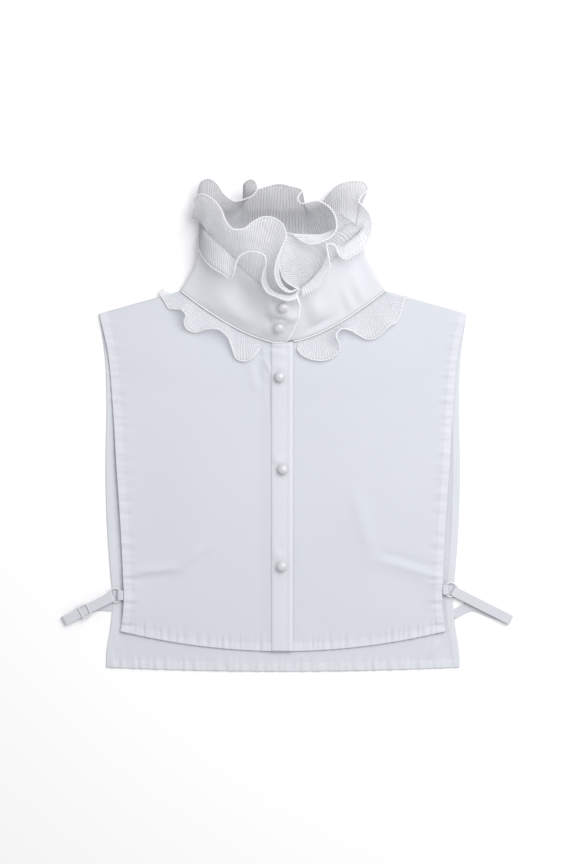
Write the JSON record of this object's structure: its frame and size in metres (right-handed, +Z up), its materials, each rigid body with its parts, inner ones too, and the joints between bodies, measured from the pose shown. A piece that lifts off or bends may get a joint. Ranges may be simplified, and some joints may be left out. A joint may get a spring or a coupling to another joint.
{
  "type": "ruffled collar",
  "caption": "Detachable white collar with bib fronts and back, a buttoned high stand, pleated organza ruffles at rim and neck seam, and elastic side straps, laid flat.",
  "frame": {"origin": "on the flat underside of the back, in line with the front opening, 247 mm above the middle of the back's hem as it lies", "axes": "+X to the wearer's left, +Y up the garment from hem to ruffles, +Z up from the table it lies on"},
  "size_m": [0.4517, 0.4903, 0.0725],
  "materials": {
    "white_cotton": "plain woven cotton blend, matte",
    "pleated_organza": "finely pleated sheer organza with a corded edge",
    "piping_satin": "soft sheen",
    "pearl_button": "pearl",
    "white_elastic": "flat ribbed elastic",
    "white_plastic": "smooth, slightly glossy"
  },
  "bodies": {
    "root": {"back_panel": "white_cotton", "front_left": "white_cotton", "front_right": "white_cotton", "button_band": "white_cotton", "collar_stand": "white_cotton", "ruffle_upper": "pleated_organza", "ruffle_lower": "pleated_organza", "neck_ruffle_right": "pleated_organza", "neck_ruffle_left": "pleated_organza", "neck_ruffle_back": "pleated_organza", "piping_right": "piping_satin", "piping_left": "piping_satin", "button_1": "pearl_button", "button_2": "pearl_button", "button_3": "pearl_button", "button_4": "pearl_button", "button_5": "pearl_button", "strap_right": "white_elastic", "strap_left": "white_elastic", "tab_right": "white_elastic", "tab_left": "white_elastic", "ring_right": "white_plastic", "ring_left": "white_plastic", "slider_right": "white_plastic"}
  },
  "joints": []
}
